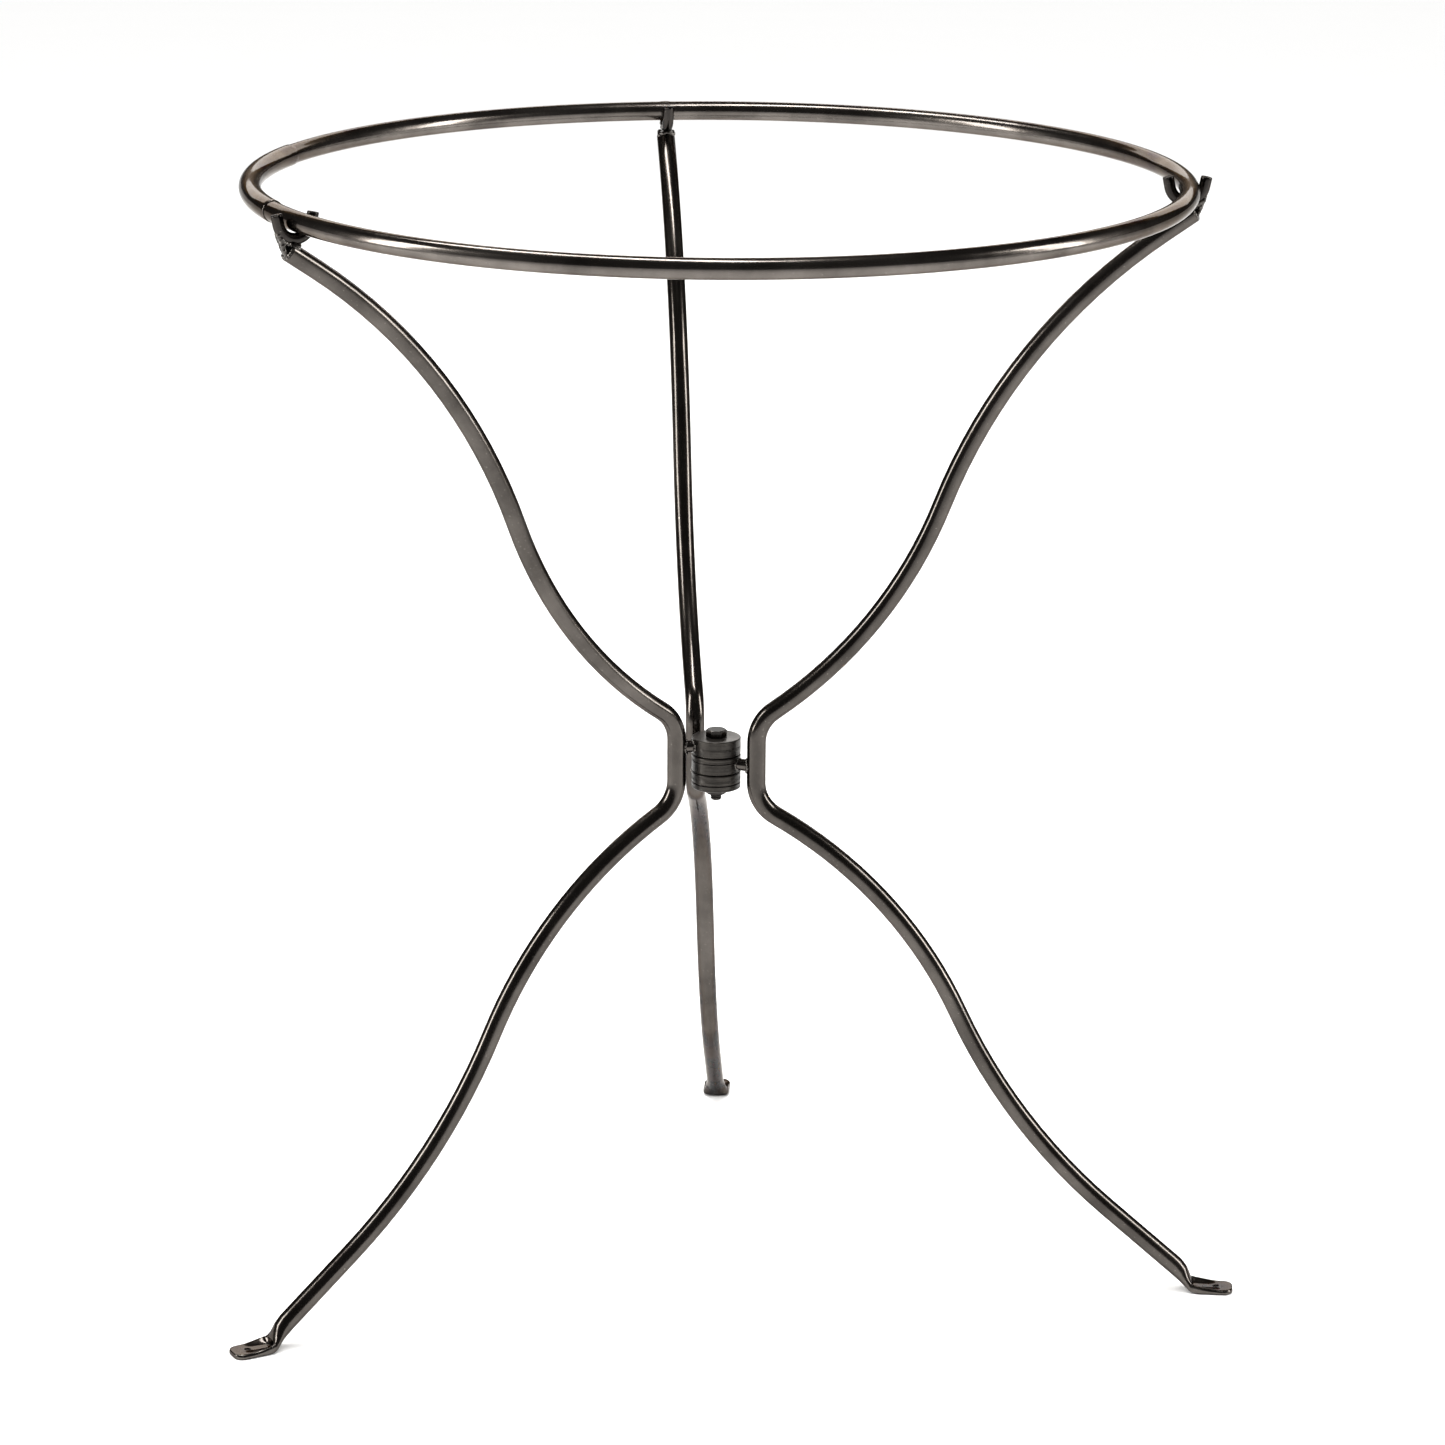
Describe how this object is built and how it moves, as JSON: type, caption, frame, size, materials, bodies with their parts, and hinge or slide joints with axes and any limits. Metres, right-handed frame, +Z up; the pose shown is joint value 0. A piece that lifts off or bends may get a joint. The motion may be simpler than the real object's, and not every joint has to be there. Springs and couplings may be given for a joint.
{
  "type": "folding tripod ring stand",
  "caption": "Folding tripod stand of bent steel tube: S-shaped legs swing on one upright bolt and carry a loose ring in open cradles; flat drilled feet.",
  "frame": {"origin": "on the floor, on the axis of the pivot bolt that joins the legs", "axes": "+Z up along the bolt, +X to the viewer's right, +Y to the back; the back leg points towards +Y"},
  "size_m": [0.7155, 0.7071, 0.8076],
  "materials": {
    "ring_paint": "glossy warm black lacquer on steel tube",
    "leg_paint": "glossy warm black lacquer on steel tube",
    "turned_steel": "semi-gloss black lacquer over turned steel, tool lines showing",
    "washer_steel": "matt black washers",
    "bolt_steel": "lacquered steel, worn on the corners",
    "weld_beads": "lumpy lacquered weld, bright on its crests"
  },
  "bodies": {
    "back_leg": {"back_leg_tube": "leg_paint", "back_cradle": "leg_paint", "back_cradle_welds": "weld_beads", "back_knuckle": "turned_steel", "back_stub": "leg_paint", "pivot_bolt": "bolt_steel", "upper_washer": "washer_steel", "lower_washer": "washer_steel", "lock_nut": "bolt_steel"},
    "left_leg": {"left_leg_tube": "leg_paint", "left_cradle": "leg_paint", "left_cradle_welds": "weld_beads", "left_knuckle": "turned_steel", "left_stub": "leg_paint"},
    "right_leg": {"right_leg_tube": "leg_paint", "right_cradle": "leg_paint", "right_cradle_welds": "weld_beads", "right_knuckle": "turned_steel", "right_stub": "leg_paint"},
    "ring": {"ring_tube": "ring_paint", "ring_sleeve": "ring_paint"}
  },
  "joints": [
    {"name": "left_leg_swing", "type": "hinge", "parent": "back_leg", "child": "left_leg", "pos_m": [0, 0, 0.3971], "axis": [0, 0, 1], "range_deg": [-45, 50]},
    {"name": "right_leg_swing", "type": "hinge", "parent": "back_leg", "child": "right_leg", "pos_m": [0, 0, 0.3845], "axis": [0, 0, 1], "range_deg": [-50, 80]},
    {"name": "ring_lift", "type": "slide", "parent": "back_leg", "child": "ring", "axis": [0, 0, 1], "range_m": [0, 0.06]}
  ]
}
